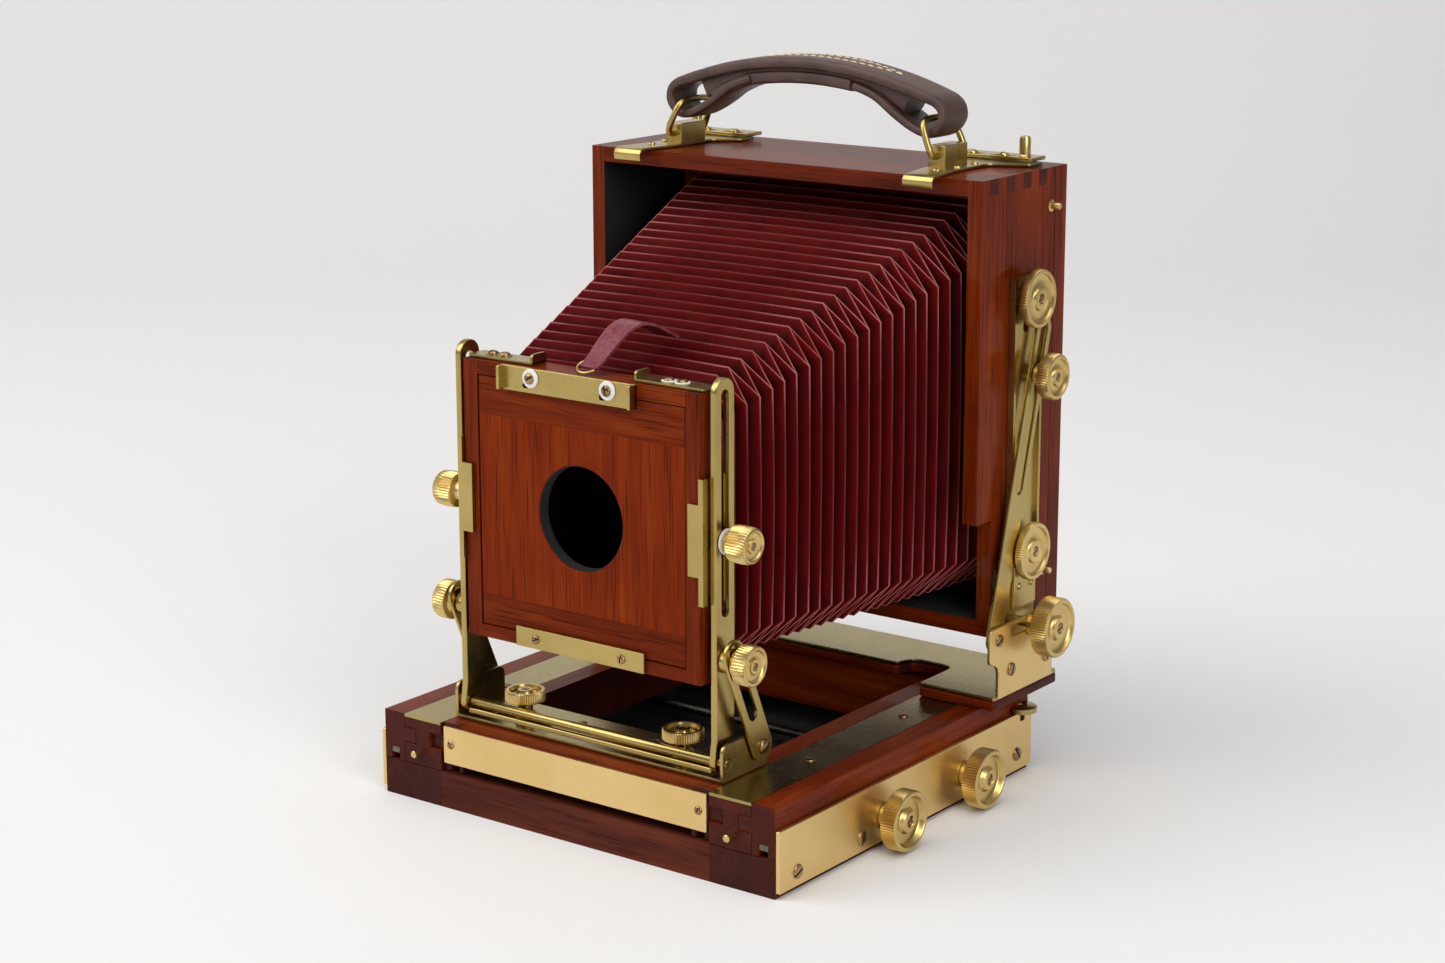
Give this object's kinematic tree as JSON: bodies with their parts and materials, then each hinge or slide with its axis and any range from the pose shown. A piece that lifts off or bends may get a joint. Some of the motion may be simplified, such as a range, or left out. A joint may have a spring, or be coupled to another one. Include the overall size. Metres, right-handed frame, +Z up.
{
  "type": "folding view camera",
  "caption": "Wooden field camera on a rack-and-pinion bed, with a tapered square bellows, brass standards that rise, shift, tilt and swing, and a leather handle.",
  "frame": {"origin": "centre of the camera's footprint, on the surface it stands on", "axes": "+X to the right seen from the front, +Y from the lens to the back, +Z up"},
  "size_m": [0.238, 0.213, 0.2955],
  "materials": {
    "wood": "gloss varnish",
    "base_wood": "satin varnish",
    "brass": "satin, lightly lacquered",
    "pinion": "turned and knurled",
    "rack_steel": "cut teeth",
    "nylon": "matt",
    "bellows_cloth": "coated cloth",
    "leather": "waxed, stitched edges",
    "ground_glass": "ground"
  },
  "bodies": {
    "base": {"base_frame": "base_wood", "tripod_plate": "brass", "side_plate_right": "brass", "side_plate_left": "brass", "bellows": "bellows_cloth"},
    "front_pinion": {"front_pinion_shaft": "pinion"},
    "rear_pinion": {"rear_pinion_shaft": "pinion"},
    "rear_slide": {"outer_frame": "wood", "rear_rack_right": "rack_steel", "rear_rack_left": "rack_steel"},
    "middle_slide": {"middle_frame": "wood", "rail_strip_right": "brass", "rail_strip_left": "brass"},
    "front_slide": {"front_frame": "wood", "front_rack_right": "rack_steel", "front_rack_left": "rack_steel"},
    "front_base": {"front_base_plate": "brass"},
    "uprights": {"front_upright_right": "brass", "front_upright_left": "brass", "front_cross_rod": "brass"},
    "front_carriage": {"rise_washer_right": "nylon", "rise_washer_left": "nylon"},
    "lens_frame": {"lens_frame": "wood", "lens_board": "wood", "frame_pad_right": "brass", "frame_pad_left": "brass"},
    "board_clip": {"board_clip": "brass"},
    "rear_wing": {"wing_board": "wood", "wing_plate": "brass"},
    "rear_box": {"rear_box": "wood", "handle_strap": "leather", "rear_channel_right": "brass", "rear_channel_left": "brass", "top_plate_right": "brass", "top_plate_left": "brass"},
    "back_frame": {"back_frame": "wood"},
    "glass_frame": {"glass_frame": "wood", "ground_glass": "ground_glass"},
    "shift_clamp_right": {"shift_clamp_right": "brass"},
    "shift_clamp_left": {"shift_clamp_left": "brass"},
    "front_brace_right": {"front_brace_right": "brass"},
    "front_brace_left": {"front_brace_left": "brass"},
    "front_lower_knob_right": {"front_lower_knob_right": "brass"},
    "front_lower_knob_left": {"front_lower_knob_left": "brass"},
    "front_upper_knob_right": {"front_upper_knob_right": "brass"},
    "front_upper_knob_left": {"front_upper_knob_left": "brass"},
    "rear_brace_right": {"rear_brace_right": "brass"},
    "rear_brace_left": {"rear_brace_left": "brass"},
    "brace_knob_right": {"brace_knob_right": "brass"},
    "brace_knob_left": {"brace_knob_left": "brass"},
    "foot_knob_right": {"foot_knob_right": "brass"},
    "foot_knob_left": {"foot_knob_left": "brass"},
    "lower_disc_right": {"lower_disc_right": "brass"},
    "lower_disc_left": {"lower_disc_left": "brass"},
    "upper_disc_right": {"upper_disc_right": "brass"},
    "upper_disc_left": {"upper_disc_left": "brass"},
    "handle_ring_right": {"handle_ring_right": "brass"},
    "handle_ring_left": {"handle_ring_left": "brass"},
    "back_latch_right": {"back_latch_right": "brass"},
    "back_latch_left": {"back_latch_left": "brass"}
  },
  "joints": [
    {"name": "front_focus", "type": "slide", "parent": "base", "child": "front_slide", "axis": [0, -1, 0], "range_m": [0, 0.09], "deforming": ["bellows"]},
    {"name": "middle_follow", "type": "slide", "parent": "base", "child": "middle_slide", "axis": [0, -1, 0], "range_m": [0, 0.045]},
    {"name": "front_pinion_spin", "type": "hinge", "parent": "base", "child": "front_pinion", "pos_m": [0, -0.037, 0.013], "axis": [1, 0, 0], "range_deg": [0, 1289.16]},
    {"name": "rear_focus", "type": "slide", "parent": "base", "child": "rear_slide", "axis": [0, 1, 0], "range_m": [0, 0.06], "deforming": ["bellows"]},
    {"name": "rear_pinion_spin", "type": "hinge", "parent": "base", "child": "rear_pinion", "pos_m": [0, 0.022, 0.013], "axis": [-1, 0, 0], "range_deg": [0, 859.44]},
    {"name": "front_shift", "type": "slide", "parent": "front_slide", "child": "front_base", "axis": [1, 0, 0], "range_m": [-0.012, 0.012], "deforming": ["bellows"]},
    {"name": "front_tilt", "type": "hinge", "parent": "front_base", "child": "uprights", "pos_m": [0, -0.0941, 0.043], "axis": [1, 0, 0], "range_deg": [-15, 15], "deforming": ["bellows"]},
    {"name": "front_rise", "type": "slide", "parent": "uprights", "child": "front_carriage", "axis": [0, 0, 1], "range_m": [-0.02, 0.055], "deforming": ["bellows"]},
    {"name": "lens_tilt", "type": "hinge", "parent": "front_carriage", "child": "lens_frame", "pos_m": [0, -0.09095, 0.1292], "axis": [1, 0, 0], "range_deg": [-15, 15], "deforming": ["bellows"]},
    {"name": "clip_slide", "type": "slide", "parent": "lens_frame", "child": "board_clip", "axis": [0.7071, 0, 0.7071], "range_m": [0, 0.004]},
    {"name": "rear_swing", "type": "hinge", "parent": "rear_slide", "child": "rear_wing", "pos_m": [0, 0.0615, 0.038], "axis": [0, 0, 1], "range_deg": [-8, 8], "deforming": ["bellows"]},
    {"name": "rear_tilt", "type": "hinge", "parent": "rear_wing", "child": "rear_box", "pos_m": [0, 0.0655, 0.067], "axis": [1, 0, 0], "range_deg": [-10, 10], "deforming": ["bellows"]},
    {"name": "back_removal", "type": "slide", "parent": "rear_box", "child": "back_frame", "axis": [0, 1, 0], "range_m": [0, 0.03]},
    {"name": "focus_screen_spring", "type": "slide", "parent": "back_frame", "child": "glass_frame", "axis": [0, 1, 0], "range_m": [0, 0.012], "stiffness_N_per_m": 600, "springref_m": -0.01},
    {"name": "shift_clamp_turn_right", "type": "hinge", "parent": "front_slide", "child": "shift_clamp_right", "pos_m": [0.04, -0.086, 0.048], "axis": [0, 0, 1], "range_deg": [0, 360]},
    {"name": "front_brace_turn_right", "type": "hinge", "parent": "front_base", "child": "front_brace_right", "pos_m": [0.069, -0.0743, 0.0452], "axis": [1, 0, 0], "range_deg": [-13, 13]},
    {"name": "front_lower_knob_turn_right", "type": "hinge", "parent": "uprights", "child": "front_lower_knob_right", "pos_m": [0.075, -0.09095, 0.0828], "axis": [1, 0, 0], "range_deg": [0, 360]},
    {"name": "front_upper_knob_turn_right", "type": "hinge", "parent": "front_carriage", "child": "front_upper_knob_right", "pos_m": [0.073, -0.09095, 0.1292], "axis": [1, 0, 0], "range_deg": [0, 360]},
    {"name": "rear_brace_turn_right", "type": "hinge", "parent": "rear_wing", "child": "rear_brace_right", "pos_m": [0.1026, 0.0399, 0.066], "axis": [1, 0, 0], "range_deg": [-9.4, 9.4]},
    {"name": "brace_knob_turn_right", "type": "hinge", "parent": "rear_box", "child": "brace_knob_right", "pos_m": [0.11, 0.0685, 0.171], "axis": [1, 0, 0], "range_deg": [0, 360]},
    {"name": "foot_knob_turn_right", "type": "hinge", "parent": "rear_box", "child": "foot_knob_right", "pos_m": [0.115, 0.0655, 0.067], "axis": [1, 0, 0], "range_deg": [0, 360]},
    {"name": "lower_disc_turn_right", "type": "hinge", "parent": "rear_box", "child": "lower_disc_right", "pos_m": [0.105, 0.0645, 0.098], "axis": [1, 0, 0], "range_deg": [0, 360]},
    {"name": "upper_disc_turn_right", "type": "hinge", "parent": "rear_box", "child": "upper_disc_right", "pos_m": [0.105, 0.0645, 0.203], "axis": [1, 0, 0], "range_deg": [0, 360]},
    {"name": "handle_ring_turn_right", "type": "hinge", "parent": "rear_box", "child": "handle_ring_right", "pos_m": [0.0665, 0.0565, 0.259], "axis": [0, 1, 0], "range_deg": [-8, 8]},
    {"name": "back_latch_slide_right", "type": "slide", "parent": "rear_box", "child": "back_latch_right", "axis": [1, 0, 0], "range_m": [-0.003, 0.003]},
    {"name": "shift_clamp_turn_left", "type": "hinge", "parent": "front_slide", "child": "shift_clamp_left", "pos_m": [-0.04, -0.086, 0.048], "axis": [0, 0, 1], "range_deg": [0, 360]},
    {"name": "front_brace_turn_left", "type": "hinge", "parent": "front_base", "child": "front_brace_left", "pos_m": [-0.069, -0.0743, 0.0452], "axis": [1, 0, 0], "range_deg": [-13, 13]},
    {"name": "front_lower_knob_turn_left", "type": "hinge", "parent": "uprights", "child": "front_lower_knob_left", "pos_m": [-0.075, -0.09095, 0.0828], "axis": [1, 0, 0], "range_deg": [0, 360]},
    {"name": "front_upper_knob_turn_left", "type": "hinge", "parent": "front_carriage", "child": "front_upper_knob_left", "pos_m": [-0.073, -0.09095, 0.1292], "axis": [1, 0, 0], "range_deg": [0, 360]},
    {"name": "rear_brace_turn_left", "type": "hinge", "parent": "rear_wing", "child": "rear_brace_left", "pos_m": [-0.1026, 0.0399, 0.066], "axis": [1, 0, 0], "range_deg": [-9.4, 9.4]},
    {"name": "brace_knob_turn_left", "type": "hinge", "parent": "rear_box", "child": "brace_knob_left", "pos_m": [-0.11, 0.0685, 0.171], "axis": [1, 0, 0], "range_deg": [0, 360]},
    {"name": "foot_knob_turn_left", "type": "hinge", "parent": "rear_box", "child": "foot_knob_left", "pos_m": [-0.115, 0.0655, 0.067], "axis": [1, 0, 0], "range_deg": [0, 360]},
    {"name": "lower_disc_turn_left", "type": "hinge", "parent": "rear_box", "child": "lower_disc_left", "pos_m": [-0.105, 0.0645, 0.098], "axis": [1, 0, 0], "range_deg": [0, 360]},
    {"name": "upper_disc_turn_left", "type": "hinge", "parent": "rear_box", "child": "upper_disc_left", "pos_m": [-0.105, 0.0645, 0.203], "axis": [1, 0, 0], "range_deg": [0, 360]},
    {"name": "handle_ring_turn_left", "type": "hinge", "parent": "rear_box", "child": "handle_ring_left", "pos_m": [-0.0665, 0.0565, 0.259], "axis": [0, 1, 0], "range_deg": [-8, 8]},
    {"name": "back_latch_slide_left", "type": "slide", "parent": "rear_box", "child": "back_latch_left", "axis": [-1, 0, 0], "range_m": [-0.003, 0.003]}
  ],
  "couplings": [
    {"joint": "middle_follow", "follows": "front_focus", "ratio": 0.5},
    {"joint": "front_pinion_spin", "follows": "front_focus", "rad_per_m": 250},
    {"joint": "rear_pinion_spin", "follows": "rear_focus", "rad_per_m": 250},
    {"joint": "front_brace_turn_right", "follows": "front_tilt", "ratio": 0.8535},
    {"joint": "rear_brace_turn_right", "follows": "rear_tilt", "ratio": 0.9293},
    {"joint": "front_brace_turn_left", "follows": "front_tilt", "ratio": 0.8535},
    {"joint": "rear_brace_turn_left", "follows": "rear_tilt", "ratio": 0.9293}
  ]
}
